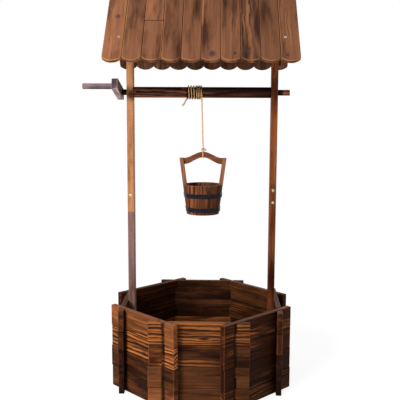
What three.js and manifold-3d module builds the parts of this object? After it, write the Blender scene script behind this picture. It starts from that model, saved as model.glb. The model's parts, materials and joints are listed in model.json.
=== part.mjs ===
// Wishing well planter: an octagonal tub of lapped boards, two posts under a plank roof,
// and a windlass whose rope carries a small stave bucket.
// Millimetres, +Z up. The origin is on the ground at the middle of the tub. The front is towards -Y.
import * as THREE from "three";
import { mergeVertices } from "three/addons/utils/BufferGeometryUtils.js";
import Module from "manifold-3d";

// Fits and making
const SEAT_GAP = 0.3; // between pieces that rest on or against each other
const RUNNING_GAP = 0.5; // round a journal in its hole
const OVERRUN = 5; // how far a cutter reaches past what it cuts
const JOIN = 0.5; // how far the joined members of one piece run into each other
const WELD = 1e-4; // corners closer than this are one corner
const ROUND_FACETS = 32;

// Tub
const TUB_ACROSS = 534; // over the outer faces of two opposite walls
const BOARD_THICKNESS = 18;
const BOARD_HEIGHT = 69.7;
const BOARD_END = 50.6; // from the middle of a crossing to the end of the board
const LAP_CLEARANCE = 3; // each side of the board that lies in a notch
const COURSES = 4;
const SIDES = ["front", "front_right", "right", "rear_right", "rear", "rear_left", "left", "front_left"];

// Floor of the tub
const BEARER_WIDTH = 38;
const BEARER_HEIGHT = 20;
const OUTER_BEARER_Y = 145;
const DECK_THICKNESS = 15;
const DECK_SLAT_WIDTH = 48;
const DECK_SLAT_GAP = 6;
const DECK_SLATS = 9;
const DECK_CLEARANCE = 4; // to the walls and the posts
const CLEAT_WIDTH = 30;
const CLEAT_THICKNESS = 12;
const CLEAT_Y = 72;

// Posts
const POST_WIDTH = 21; // along X
const POST_DEPTH = 44; // along Y
const POST_LAP_FROM = 585;
const POST_LAP_LENGTH = 96;

// Roof
const RIDGE_HEIGHT = 1315;
const ROOF_PITCH = THREE.MathUtils.degToRad(47.73);
const SLAT_COUNT = 10;
const SLAT_WIDTH = 59;
const SLAT_GAP = 1;
const SLAT_LENGTH = 325;
const SLAT_THICKNESS = 12;
const SCALLOP_RADIUS = 37;
const SCALLOP_STEPS = 8;
const BATTEN_WIDTH = 30;
const BATTEN_THICKNESS = 12;
const BATTEN_FROM_RIDGE = 80;
const BATTEN_FROM_EAVE = 67;
const RAFTER_WIDTH = 22;
const RAFTER_DEPTH = 36;
const RAFTER_SETBACK = 50; // from the eave to the foot of a rafter

// Windlass
const CRANK_CLEARANCE = 62.34; // between the turning crank and the rafters over it
const ROLLER_ACROSS = 35;
const ROLLER_CHAMFER = 7.5;
const ROLLER_END_GAP = 1; // to the inner face of a post
const JOURNAL_DIAMETER = 19;
const JOURNAL_STUB = 40; // past the outer face of the right post
const CRANK_FROM_POST = 16.5; // from the outer face of the left post to the arm
const CRANK_THICKNESS = 19.5;
const CRANK_WIDTH = 35;
const CRANK_REACH = 77; // from the axle to the grip
const CRANK_TIP = 35; // from the grip to the end of the arm
const CRANK_HEEL = 40; // from the axle to the other end
const CRANK_TILT = THREE.MathUtils.degToRad(12.9);
const CRANK_CORNER = 5; // cut off each corner of the arm
const GRIP_DIAMETER = 18.5;
const GRIP_LENGTH = 118;

// Rope
const ROPE_DIAMETER = 5;
const ROPE_SIDES = 6;
const ROPE_EXIT_X = -1; // where the rope leaves the roller
const EXIT_SPREAD = 1; // how far the first turn steps aside from the falling end
const TIGHT_TURNS = 3;
const TIGHT_PITCH = 5.5;
const LOOSE_PITCH = 8.5;
const ROPE_TURNS = 6.75; // from the falling end to where the tail leaves
const STEPS_PER_CORNER = 3;
const ROPE_FALL = 165; // from the roller to the knot, with the bucket at rest
const FALL_SIDES = 8;
const FALL_STEPS = 12;
const KNOT_RADIUS = 6.5;
const KNOT_RISE = 8; // from the top of the handle to the middle of the knot
const KNOT_END = 11; // the short end that stands out of the knot
// The tail's route, from the axle: its points hang below the roller.
const TAIL_ROUTE = [
  [-50.5, -3, -20.8],
  [-52.5, -8, -23.5],
  [-54.5, -11, -28],
  [-57, -12, -33.5],
  [-60, -11.5, -38.5],
  [-64, -11, -42.5],
];

// Bucket, from its own base
const BUCKET_X = 4;
const BUCKET_BASE_DIAMETER = 108;
const BUCKET_FLARE = THREE.MathUtils.degToRad(7.463); // how far the staves lean out
const STAVE_THICKNESS = 12;
const STAVE_HEIGHT = 98;
const EAR_HEIGHT = 186;
const EAR_WIDTH = 26;
const BUCKET_FACETS = 56;
const BOTTOM_RECESS = 8;
const BOTTOM_THICKNESS = 8;
const HOOP_THICKNESS = 1.5;
const HOOP_WIDTH = 15;
const LOWER_HOOP_Z = 9;
const UPPER_HOOP_Z = 56;
const HANDLE_HEIGHT = 18.5;
const HANDLE_THICKNESS = 12;
const HANDLE_RISE = 22.5; // of the arch above its ends
const HANDLE_SETDOWN = 2; // from the top of an ear to the end of the handle
const HANDLE_STEPS = 20;

// Places that follow from the sizes
const sideTurn = (2 * Math.PI) / SIDES.length;
const wallMiddle = TUB_ACROSS / 2 - BOARD_THICKNESS / 2;
const wallInside = TUB_ACROSS / 2 - BOARD_THICKNESS;
const crossing = wallMiddle * Math.tan(sideTurn / 2);
const boardLength = 2 * (crossing + BOARD_END);
const courseRise = BOARD_HEIGHT + SEAT_GAP;
const postOutside = wallInside - SEAT_GAP;
const postInside = postOutside - POST_WIDTH;
const postLapTo = POST_LAP_FROM + POST_LAP_LENGTH;
const slatPitch = SLAT_WIDTH + SLAT_GAP;
const rafterInside = postOutside + SEAT_GAP;
const rollerHalf = postInside - ROLLER_END_GAP;
const rollerFlat = ROLLER_ACROSS / 2 - ROLLER_CHAMFER; // half of a flat
const crankInside = postOutside + CRANK_FROM_POST;
const ropeReach = ROPE_DIAMETER / 2 + SEAT_GAP; // from a surface to the rope's middle
const fallY = -(ROLLER_ACROSS / 2 + ropeReach);
const crankSwing = CRANK_REACH + CRANK_TIP;
const rafterUnder = SLAT_THICKNESS + SEAT_GAP + RAFTER_DEPTH; // square to the slope
const underRidge = crankSwing + CRANK_CLEARANCE + rafterUnder;
const axleHeight = RIDGE_HEIGHT - underRidge / Math.cos(ROOF_PITCH);
const fallTop = axleHeight - rollerFlat - ROPE_DIAMETER - SEAT_GAP;
const fallBottom = fallTop - ROPE_FALL;
const handleEndTop = EAR_HEIGHT - HANDLE_SETDOWN;
const handleTop = handleEndTop + HANDLE_RISE;
const bucketBase = fallBottom - SEAT_GAP - KNOT_RADIUS - KNOT_RISE - handleTop;

const wasm = await Module();
wasm.setup();

/** The geometry as a solid for joining and cutting. */
function solidOf(geometry) {
  const bare = geometry.index ? geometry.toNonIndexed() : geometry.clone();
  bare.deleteAttribute("normal");
  bare.deleteAttribute("uv");
  const merged = mergeVertices(bare, WELD);
  const mesh = new wasm.Mesh({
    numProp: 3,
    vertProperties: merged.attributes.position.array,
    triVerts: new Uint32Array(merged.index.array),
  });
  return new wasm.Manifold(mesh);
}

/** A solid back as a geometry. */
function geometryOf(solid) {
  const mesh = solid.getMesh();
  const geometry = new THREE.BufferGeometry();
  geometry.setAttribute("position", new THREE.BufferAttribute(mesh.vertProperties, mesh.numProp));
  geometry.setIndex(new THREE.BufferAttribute(mesh.triVerts, 1));
  const flat = geometry.toNonIndexed();
  flat.computeVertexNormals();
  return flat;
}

const joined = (...geometries) => geometryOf(geometries.map(solidOf).reduce((a, b) => a.add(b)));
const cut = (geometry, ...cutters) =>
  geometryOf(cutters.map(solidOf).reduce((a, b) => a.subtract(b), solidOf(geometry)));
const common = (a, b) => geometryOf(solidOf(a).intersect(solidOf(b)));

/** A box from its lowest to its highest corner. */
function box(low, high) {
  const size = high.map((value, axis) => value - low[axis]);
  const middle = high.map((value, axis) => (value + low[axis]) / 2);
  return new THREE.BoxGeometry(...size).translate(...middle);
}

/** Two distances from the middle plane, as the low and the high place on one side of it. */
const onSide = (side, near, far) => (side > 0 ? [near, far] : [-far, -near]);

const outline = (points) => new THREE.Shape(points.map(([x, y]) => new THREE.Vector2(x, y)));

/** A slab of an outline in Y and Z, between two places on X. */
function slabAlongX(points, fromX, toX) {
  const slab = new THREE.ExtrudeGeometry(outline(points), { depth: toX - fromX, bevelEnabled: false });
  const basis = new THREE.Matrix4().makeBasis(
    new THREE.Vector3(0, 1, 0),
    new THREE.Vector3(0, 0, 1),
    new THREE.Vector3(1, 0, 0),
  );
  return slab.applyMatrix4(basis).translate(fromX, 0, 0);
}

/** A slab of an outline in X and Z, its thickness halved by the plane y = 0. */
function slabAlongY(points, thickness) {
  const slab = new THREE.ExtrudeGeometry(outline(points), { depth: thickness, bevelEnabled: false });
  return slab.rotateX(Math.PI / 2).translate(0, thickness / 2, 0);
}

/** A round bar along X. */
function barAlongX(diameter, fromX, toX) {
  const bar = new THREE.CylinderGeometry(diameter / 2, diameter / 2, toX - fromX, ROUND_FACETS);
  return bar.rotateZ(Math.PI / 2).translate((fromX + toX) / 2, 0, 0);
}

/** A closed round tube through the points, with flat ends square to its first and last run. */
function tube(points, radius, sides) {
  const path = points.map((p) => new THREE.Vector3(...p));
  const at = (i) => path[THREE.MathUtils.clamp(i, 0, path.length - 1)];
  const run = (i) => at(i + 1).clone().sub(at(i - 1)).normalize();
  const across = new THREE.Vector3(1, 0, 0);
  const corners = [];
  path.forEach((point, i) => {
    const along = run(i);
    across.addScaledVector(along, -across.dot(along)).normalize();
    const up = along.clone().cross(across);
    for (let k = 0; k < sides; k++) {
      const turn = (2 * Math.PI * k) / sides;
      const corner = across.clone().multiplyScalar(radius * Math.cos(turn));
      corner.addScaledVector(up, radius * Math.sin(turn)).add(point);
      corners.push(corner.toArray());
    }
  });
  const faces = [];
  for (let i = 0; i + 1 < path.length; i++) {
    for (let k = 0; k < sides; k++) {
      const a = i * sides + k;
      const b = i * sides + ((k + 1) % sides);
      faces.push(a, b, b + sides, a, b + sides, a + sides);
    }
  }
  const last = (path.length - 1) * sides;
  for (let k = 1; k + 1 < sides; k++) faces.push(0, k + 1, k, last, last + k, last + k + 1);
  const geometry = new THREE.BufferGeometry();
  geometry.setAttribute("position", new THREE.Float32BufferAttribute(corners.flat(), 3));
  geometry.setIndex(faces);
  const flat = geometry.toNonIndexed();
  flat.computeVertexNormals();
  return flat;
}

/** Points of a rope's middle as it bends round one corner, for normals between two angles. */
function roundCorner([a, b], fromTurn, toTurn, steps) {
  return Array.from({ length: steps }, (_, k) => {
    const turn = fromTurn + ((toTurn - fromTurn) * (k + 1 / 2)) / steps;
    return [a + ropeReach * Math.cos(turn), b + ropeReach * Math.sin(turn)];
  });
}

function piece(name, geometry, color, roughness = 0.75, metalness = 0) {
  const mesh = new THREE.Mesh(geometry, new THREE.MeshStandardMaterial({ color, roughness, metalness }));
  mesh.name = name;
  return mesh;
}

const BURNT = [0x5a3418, 0x4a2a14, 0x633a1c, 0x522e18];
const ROOF_BROWN = 0x7a5139;
const POST_LIGHT = 0xb47a50;
const POST_RED = 0x8a5a3c;
const POST_DARK = 0x74543f;
const ROLLER_BROWN = 0x3a2214;
const CRANK_BROWN = 0x6e4c48;
const ROPE_TAN = 0xc4a377;
const STAVE_BROWN = 0x83522f;
const HOOP_BLACK = 0x1b1e2a;

/** One board of the tub, along X at the front wall, with its two half laps. */
function tubBoard(notchesOnTop) {
  const half = boardLength / 2;
  const thick = BOARD_THICKNESS / 2;
  const board = box([-half, -thick, 0], [half, thick, BOARD_HEIGHT]);
  const slot = thick + LAP_CLEARANCE;
  const middle = BOARD_HEIGHT / 2;
  const lowest = notchesOnTop ? middle - SEAT_GAP / 2 : -OVERRUN;
  const highest = notchesOnTop ? BOARD_HEIGHT + OVERRUN : middle + SEAT_GAP / 2;
  const notches = [-1, 1].map((end) => {
    const reach = BOARD_THICKNESS / Math.sin(sideTurn) + OVERRUN;
    const notch = box([-reach, -slot, lowest], [reach, slot, highest]);
    return notch.rotateZ(end * sideTurn).translate(end * crossing, 0, 0);
  });
  return cut(board, ...notches).translate(0, -wallMiddle, 0);
}

/** Four courses on each side. On the top course the notches are the other way up. */
function tub() {
  const group = new THREE.Group();
  SIDES.forEach((side, i) => {
    const wall = new THREE.Group();
    wall.rotation.z = i * sideTurn;
    for (let course = 0; course < COURSES; course++) {
      const straightSide = i % 2 === 0;
      const topCourse = course === COURSES - 1;
      const color = BURNT[(i + course) % BURNT.length];
      const shape = tubBoard(straightSide === topCourse);
      const board = piece(`tub_board_${side}_${course + 1}`, shape, color, 0.7);
      board.position.z = course * courseRise;
      wall.add(board);
    }
    group.add(wall);
  });
  return group;
}

/** A block that fills the tub's inside, less a clearance, between two heights. */
function tubFilling(clearance, fromZ, toZ) {
  const reach = (wallInside - clearance) / Math.cos(sideTurn / 2);
  const filling = new THREE.CylinderGeometry(reach, reach, toZ - fromZ, SIDES.length);
  filling.rotateX(Math.PI / 2).rotateZ(sideTurn / 2);
  return filling.translate(0, 0, (fromZ + toZ) / 2);
}

/** Three bearers on the ground, and the slatted deck on them. */
function tubFloor() {
  const group = new THREE.Group();
  const ground = tubFilling(SEAT_GAP, 0, BEARER_HEIGHT);
  const half = BEARER_WIDTH / 2;
  const long = wallInside + OVERRUN;
  const between = postInside - SEAT_GAP;
  const places = [["front", -OUTER_BEARER_Y, long], ["middle", 0, between], ["rear", OUTER_BEARER_Y, long]];
  for (const [name, y, reach] of places) {
    const bearer = box([-reach, y - half, 0], [reach, y + half, BEARER_HEIGHT]);
    group.add(piece(`floor_bearer_${name}`, common(bearer, ground), BURNT[0]));
  }
  const low = BEARER_HEIGHT + SEAT_GAP;
  const high = low + DECK_THICKNESS;
  const pitch = DECK_SLAT_WIDTH + DECK_SLAT_GAP;
  const slats = Array.from({ length: DECK_SLATS }, (_, k) => {
    const x = (k - (DECK_SLATS - 1) / 2) * pitch;
    return box([x - DECK_SLAT_WIDTH / 2, -wallInside, low], [x + DECK_SLAT_WIDTH / 2, wallInside, high]);
  });
  const cleatReach = ((DECK_SLATS - 1) * pitch + DECK_SLAT_WIDTH) / 2;
  const bottom = low - CLEAT_THICKNESS;
  const cleats = [-1, 1].map((side) => {
    const [near, far] = onSide(side, CLEAT_Y - CLEAT_WIDTH / 2, CLEAT_Y + CLEAT_WIDTH / 2);
    return box([-cleatReach, near, bottom], [cleatReach, far, low + JOIN]);
  });
  const inside = tubFilling(DECK_CLEARANCE, bottom - OVERRUN, high + OVERRUN);
  const shape = common(joined(...slats, ...cleats), inside);
  const room = POST_DEPTH / 2 + DECK_CLEARANCE;
  const recesses = [-1, 1].map((side) => {
    const [near, far] = onSide(side, postInside - DECK_CLEARANCE, wallInside + OVERRUN);
    return box([near, -room, -OVERRUN], [far, room, high + OVERRUN]);
  });
  group.add(piece("floor_deck", cut(shape, ...recesses), BURNT[2]));
  return group;
}

/** The height of the slats' underside over a place on Y. */
function underSlats(y) {
  const top = RIDGE_HEIGHT - Math.abs(y) * Math.tan(ROOF_PITCH);
  return top - SLAT_THICKNESS / Math.cos(ROOF_PITCH);
}

/** One post: two sections, half lapped. lapSide is -1 where the lower section's tongue is in front. */
function post(name, x, lapSide, lowerColor, upperColor) {
  const group = new THREE.Group();
  const half = POST_DEPTH / 2;
  const face = SEAT_GAP / 2;
  const turned = (points) => points.map(([y, z]) => [-lapSide * y, z]);
  const lower = turned([
    [-half, 0],
    [half, 0],
    [half, POST_LAP_FROM - SEAT_GAP],
    [-face, POST_LAP_FROM - SEAT_GAP],
    [-face, postLapTo - SEAT_GAP],
    [-half, postLapTo - SEAT_GAP],
  ]);
  const upper = turned([
    [face, POST_LAP_FROM],
    [half, POST_LAP_FROM],
    [half, underSlats(half) - SEAT_GAP],
    [0, underSlats(0) - SEAT_GAP],
    [-half, underSlats(half) - SEAT_GAP],
    [-half, postLapTo],
    [face, postLapTo],
  ]);
  const [fromX, toX] = [x - POST_WIDTH / 2, x + POST_WIDTH / 2];
  const holeDiameter = JOURNAL_DIAMETER + 2 * RUNNING_GAP;
  const hole = barAlongX(holeDiameter, fromX - OVERRUN, toX + OVERRUN).translate(0, 0, axleHeight);
  group.add(piece(`${name}_post_lower`, slabAlongX(lower, fromX, toX), lowerColor));
  group.add(piece(`${name}_post_upper`, cut(slabAlongX(upper, fromX, toX), hole), upperColor));
  return group;
}

/** A slat's outline, straight at the ridge and scalloped at the eave, with its middle at x. */
function slatOutline(x) {
  const half = SLAT_WIDTH / 2;
  const rise = Math.sqrt(SCALLOP_RADIUS ** 2 - half ** 2);
  const shape = new THREE.Shape();
  shape.moveTo(x + half, 0);
  shape.lineTo(x - half, 0);
  const turn = Math.atan2(rise, half);
  shape.absarc(x, SCALLOP_RADIUS - SLAT_LENGTH, SCALLOP_RADIUS, Math.PI + turn, 2 * Math.PI - turn, false);
  return shape;
}

/** One slope in its own plane: X along the ridge, Y up the slope, Z out of the roof. */
function roofSlope(name, rafterNames) {
  const group = new THREE.Group();
  group.position.z = RIDGE_HEIGHT;
  group.rotation.x = ROOF_PITCH;
  const span = SLAT_COUNT * slatPitch;
  // What lies past the middle plane is cut off, so that both slopes meet in a mitre.
  const past = (SLAT_THICKNESS + RAFTER_DEPTH) * 2;
  const mitre = box([-span, -SEAT_GAP / 2, -past], [span, past, past]).rotateX(-ROOF_PITCH);
  const slats = Array.from({ length: SLAT_COUNT }, (_, k) => {
    const x = (k - (SLAT_COUNT - 1) / 2) * slatPitch;
    const settings = { depth: SLAT_THICKNESS, bevelEnabled: false, curveSegments: SCALLOP_STEPS };
    return new THREE.ExtrudeGeometry(slatOutline(x), settings).translate(0, 0, -SLAT_THICKNESS);
  });
  const reach = rafterInside - SEAT_GAP;
  const battens = [-BATTEN_FROM_RIDGE, BATTEN_FROM_EAVE - SLAT_LENGTH].map((y) =>
    box(
      [-reach, y - BATTEN_WIDTH / 2, -SLAT_THICKNESS - BATTEN_THICKNESS],
      [reach, y + BATTEN_WIDTH / 2, -SLAT_THICKNESS + JOIN],
    ),
  );
  group.add(piece(`${name}_roof_slope`, cut(joined(...slats, ...battens), mitre), ROOF_BROWN));
  const top = -SLAT_THICKNESS - SEAT_GAP;
  [-1, 1].forEach((side, k) => {
    const [near, far] = onSide(side, rafterInside, rafterInside + RAFTER_WIDTH);
    const rafter = box([near, RAFTER_SETBACK - SLAT_LENGTH, top - RAFTER_DEPTH], [far, 0, top]);
    group.add(piece(rafterNames[k], cut(rafter, mitre), POST_RED));
  });
  return group;
}

function roof() {
  const group = new THREE.Group();
  const rear = new THREE.Group();
  rear.rotation.z = Math.PI;
  rear.add(roofSlope("rear", ["rafter_rear_right", "rafter_rear_left"]));
  group.add(roofSlope("front", ["rafter_front_left", "rafter_front_right"]), rear);
  return group;
}

/** The roller's corners, seen along X as distance to the front and height, anticlockwise from the front. */
function rollerCorners() {
  const flat = rollerFlat;
  const side = ROLLER_ACROSS / 2;
  const quarter = [[side, flat], [flat, side]];
  return [0, 1, 2, 3].flatMap((turn) =>
    quarter.map(([a, b]) => {
      const [cos, sin] = [[1, 0], [0, 1], [-1, 0], [0, -1]][turn];
      return [a * cos - b * sin, a * sin + b * cos];
    }),
  );
}

function roller() {
  const section = rollerCorners().map(([front, up]) => [-front, up]);
  const body = slabAlongX(section, -rollerHalf, rollerHalf);
  const right = barAlongX(JOURNAL_DIAMETER, rollerHalf - JOIN, postOutside + JOURNAL_STUB);
  const left = barAlongX(JOURNAL_DIAMETER, -(crankInside + CRANK_THICKNESS), -rollerHalf + JOIN);
  return piece("windlass_roller", joined(body, right, left), ROLLER_BROWN, 0.6);
}

/** The arm, flat against nothing but its journal, and the grip through its far end. */
function crank() {
  const group = new THREE.Group();
  group.rotation.x = -CRANK_TILT;
  const [outer, inner] = [-(crankInside + CRANK_THICKNESS), -crankInside];
  const half = CRANK_WIDTH / 2;
  const [tip, heel] = [-(CRANK_REACH + CRANK_TIP), CRANK_HEEL];
  const board = slabAlongX(
    [
      [tip + CRANK_CORNER, -half],
      [heel - CRANK_CORNER, -half],
      [heel, -half + CRANK_CORNER],
      [heel, half - CRANK_CORNER],
      [heel - CRANK_CORNER, half],
      [tip + CRANK_CORNER, half],
      [tip, half - CRANK_CORNER],
      [tip, -half + CRANK_CORNER],
    ],
    outer,
    inner,
  );
  const bore = (diameter, y) => {
    const cutter = barAlongX(diameter + 2 * SEAT_GAP, outer - OVERRUN, inner + OVERRUN);
    return cutter.translate(0, y, 0);
  };
  const arm = cut(board, bore(JOURNAL_DIAMETER, 0), bore(GRIP_DIAMETER, -CRANK_REACH));
  const grip = barAlongX(GRIP_DIAMETER, inner - GRIP_LENGTH, inner).translate(0, -CRANK_REACH, 0);
  group.add(piece("crank_arm", arm, CRANK_BROWN), piece("crank_grip", grip, CRANK_BROWN));
  return group;
}

/** How far along the roller the rope has moved after a number of turns. */
function ropeAdvance(turns) {
  const tight = Math.min(turns, TIGHT_TURNS);
  return tight * TIGHT_PITCH + (turns - tight) * LOOSE_PITCH;
}

/** The middle of the wound rope: taut round the roller's corners, from the falling end to the tail. */
function windingPath() {
  const corners = rollerCorners();
  const cornerTurn = (2 * Math.PI) / corners.length;
  const stepsPerTurn = corners.length * STEPS_PER_CORNER;
  const around = [];
  for (let corner = 0; corner * STEPS_PER_CORNER < ROPE_TURNS * stepsPerTurn; corner++) {
    const from = corner * cornerTurn;
    const place = corners[corner % corners.length];
    around.push(...roundCorner(place, from, from + cornerTurn, STEPS_PER_CORNER));
  }
  const runs = around.map(([a, b], i) => (i ? Math.hypot(a - around[i - 1][0], b - around[i - 1][1]) : 0));
  const turnLength = runs.slice(1, stepsPerTurn + 1).reduce((a, b) => a + b);
  const points = [[ROPE_EXIT_X, fallY, fallTop + SEAT_GAP - axleHeight]];
  let wound = 0;
  around.forEach(([front, up], i) => {
    wound += runs[i];
    points.push([ROPE_EXIT_X - EXIT_SPREAD - ropeAdvance(wound / turnLength), -front, up]);
  });
  return [...points, ...TAIL_ROUTE];
}

/** The least gap between parts of the rope that are more than half a turn apart. */
function leastGap(points, diameter) {
  const apart = (STEPS_PER_CORNER * rollerCorners().length) / 2;
  const path = new THREE.CurvePath();
  const vectors = points.map((p) => new THREE.Vector3(...p));
  vectors.slice(1).forEach((p, i) => path.add(new THREE.LineCurve3(vectors[i], p)));
  let least = Infinity;
  const nearest = new THREE.Vector3();
  path.curves.forEach((run, i) => {
    const line = new THREE.Line3(run.v1, run.v2);
    vectors.forEach((p, k) => {
      const steps = Math.min(Math.abs(k - i), Math.abs(k - i - 1));
      if (steps < apart) return;
      line.closestPointToPoint(p, true, nearest);
      least = Math.min(least, nearest.distanceTo(p) - diameter);
    });
  });
  return least;
}

function windlass() {
  const group = new THREE.Group();
  group.position.z = axleHeight;
  const path = windingPath();
  console.log(`least gap of the wound rope to itself: ${leastGap(path, ROPE_DIAMETER).toFixed(2)} mm`);
  const rope = piece("rope_winding", tube(path, ROPE_DIAMETER / 2, ROPE_SIDES), ROPE_TAN, 0.9);
  group.add(roller(), crank(), rope);
  return group;
}

/** The rope from the roller down to the knot. */
function ropeFall() {
  const top = new THREE.Vector3(ROPE_EXIT_X, fallY, fallTop);
  const bottom = new THREE.Vector3(BUCKET_X, fallY, fallBottom);
  const line = new THREE.LineCurve3(top, bottom);
  const section = new THREE.Shape();
  section.absarc(0, 0, ROPE_DIAMETER / 2, 0, 2 * Math.PI, false);
  const settings = { steps: FALL_STEPS, curveSegments: FALL_SIDES, extrudePath: line };
  return piece("rope_fall", new THREE.ExtrudeGeometry(section, settings), ROPE_TAN, 0.9);
}

/** The radius of the bucket's outside at a height over its base. */
const bucketRadius = (z) => BUCKET_BASE_DIAMETER / 2 + Math.tan(BUCKET_FLARE) * z;

/** A conical ring that follows the bucket's flare: offsets are from its outer surface. */
function bucketRing(fromZ, toZ, outerOffset, innerOffset) {
  const profile = [
    [bucketRadius(fromZ) + innerOffset, fromZ],
    [bucketRadius(fromZ) + outerOffset, fromZ],
    [bucketRadius(toZ) + outerOffset, toZ],
    [bucketRadius(toZ) + innerOffset, toZ],
    [bucketRadius(fromZ) + innerOffset, fromZ],
  ];
  const points = profile.map(([r, z]) => new THREE.Vector2(r, z));
  return new THREE.LatheGeometry(points, BUCKET_FACETS).rotateX(Math.PI / 2);
}

/** The plain staves stand in two curved rows, between the two ear staves. */
function bucketStaves() {
  const group = new THREE.Group();
  const far = bucketRadius(EAR_HEIGHT) + OVERRUN;
  const ring = bucketRing(0, STAVE_HEIGHT, 0, -STAVE_THICKNESS);
  const slot = EAR_WIDTH / 2 + SEAT_GAP;
  for (const [name, side] of [["front", 1], ["rear", -1]]) {
    const [low, high] = side > 0 ? [-slot, far] : [-far, slot];
    const cutter = box([-far, low, -OVERRUN], [far, high, STAVE_HEIGHT + OVERRUN]);
    group.add(piece(`bucket_staves_${name}`, cut(ring, cutter), STAVE_BROWN));
  }
  const tall = bucketRing(0, EAR_HEIGHT, 0, -STAVE_THICKNESS);
  for (const [name, low, high] of [["left", -far, 0], ["right", 0, far]]) {
    const keep = box([low, -EAR_WIDTH / 2, -OVERRUN], [high, EAR_WIDTH / 2, EAR_HEIGHT + OVERRUN]);
    group.add(piece(`bucket_ear_${name}`, common(tall, keep), STAVE_BROWN));
  }
  return group;
}

function bucketBottom() {
  const [low, high] = [BOTTOM_RECESS, BOTTOM_RECESS + BOTTOM_THICKNESS];
  const radius = (z) => bucketRadius(z) - STAVE_THICKNESS - SEAT_GAP;
  const profile = [[0, low], [radius(low), low], [radius(high), high], [0, high]];
  const points = profile.map(([r, z]) => new THREE.Vector2(r, z));
  const shape = new THREE.LatheGeometry(points, BUCKET_FACETS).rotateX(Math.PI / 2);
  return piece("bucket_bottom", shape, STAVE_BROWN);
}

/** The arched board between the ears. */
function bucketHandle() {
  const end = (z) => {
    const inside = bucketRadius(z) - STAVE_THICKNESS;
    return Math.sqrt(inside ** 2 - (HANDLE_THICKNESS / 2) ** 2) - SEAT_GAP;
  };
  const edge = (endZ) =>
    Array.from({ length: HANDLE_STEPS + 1 }, (_, k) => {
      const share = (2 * k) / HANDLE_STEPS - 1;
      return [share * end(endZ), endZ + (HANDLE_RISE * (1 + Math.cos(Math.PI * share))) / 2];
    });
  const points = [...edge(handleEndTop - HANDLE_HEIGHT), ...edge(handleEndTop).reverse()];
  return piece("bucket_handle", slabAlongY(points, HANDLE_THICKNESS), STAVE_BROWN);
}

/** The loop of rope round the handle, and the knot on top of it with its short end. */
function ropeKnot() {
  const half = HANDLE_THICKNESS / 2;
  const low = handleTop - HANDLE_HEIGHT;
  const knotZ = handleTop + KNOT_RISE;
  const quarter = Math.PI / 2;
  const up = quarter / 2;
  const side = [
    ...roundCorner([half, handleTop], up, 0, STEPS_PER_CORNER),
    ...roundCorner([half, low], 0, -quarter, STEPS_PER_CORNER),
  ];
  const other = side.map(([y, z]) => [-y, z]).reverse();
  const loop = [[0, knotZ], ...side, ...other, [0, knotZ]].map(([y, z]) => [0, y, z]);
  const knot = new THREE.SphereGeometry(KNOT_RADIUS, 2 * FALL_SIDES, FALL_SIDES);
  knot.rotateX(quarter).translate(0, 0, knotZ);
  const end = barAlongX(ROPE_DIAMETER, 0, KNOT_END).rotateY(-up / 2).translate(0, 0, knotZ);
  return piece("rope_knot", joined(tube(loop, ROPE_DIAMETER / 2, FALL_SIDES), knot, end), ROPE_TAN, 0.9);
}

function bucket() {
  const group = new THREE.Group();
  group.position.set(BUCKET_X, fallY, bucketBase);
  group.add(bucketStaves(), bucketBottom(), bucketHandle(), ropeKnot());
  for (const [name, z] of [["lower", LOWER_HOOP_Z], ["upper", UPPER_HOOP_Z]]) {
    const hoop = bucketRing(z, z + HOOP_WIDTH, SEAT_GAP + HOOP_THICKNESS, SEAT_GAP);
    group.add(piece(`bucket_hoop_${name}`, hoop, HOOP_BLACK, 0.45, 0.8));
  }
  return group;
}

const postMiddle = (postInside + postOutside) / 2;
const wishingWell = new THREE.Group();
wishingWell.add(
  tub(),
  tubFloor(),
  post("left", -postMiddle, 1, POST_DARK, POST_LIGHT),
  post("right", postMiddle, -1, POST_RED, POST_RED),
  roof(),
  windlass(),
  ropeFall(),
  bucket(),
);

export default wishingWell;
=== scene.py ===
import json
import random
from functools import partial, partialmethod
from math import asin, copysign, cos, exp, hypot, pi, radians, sin, sqrt, tan

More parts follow.
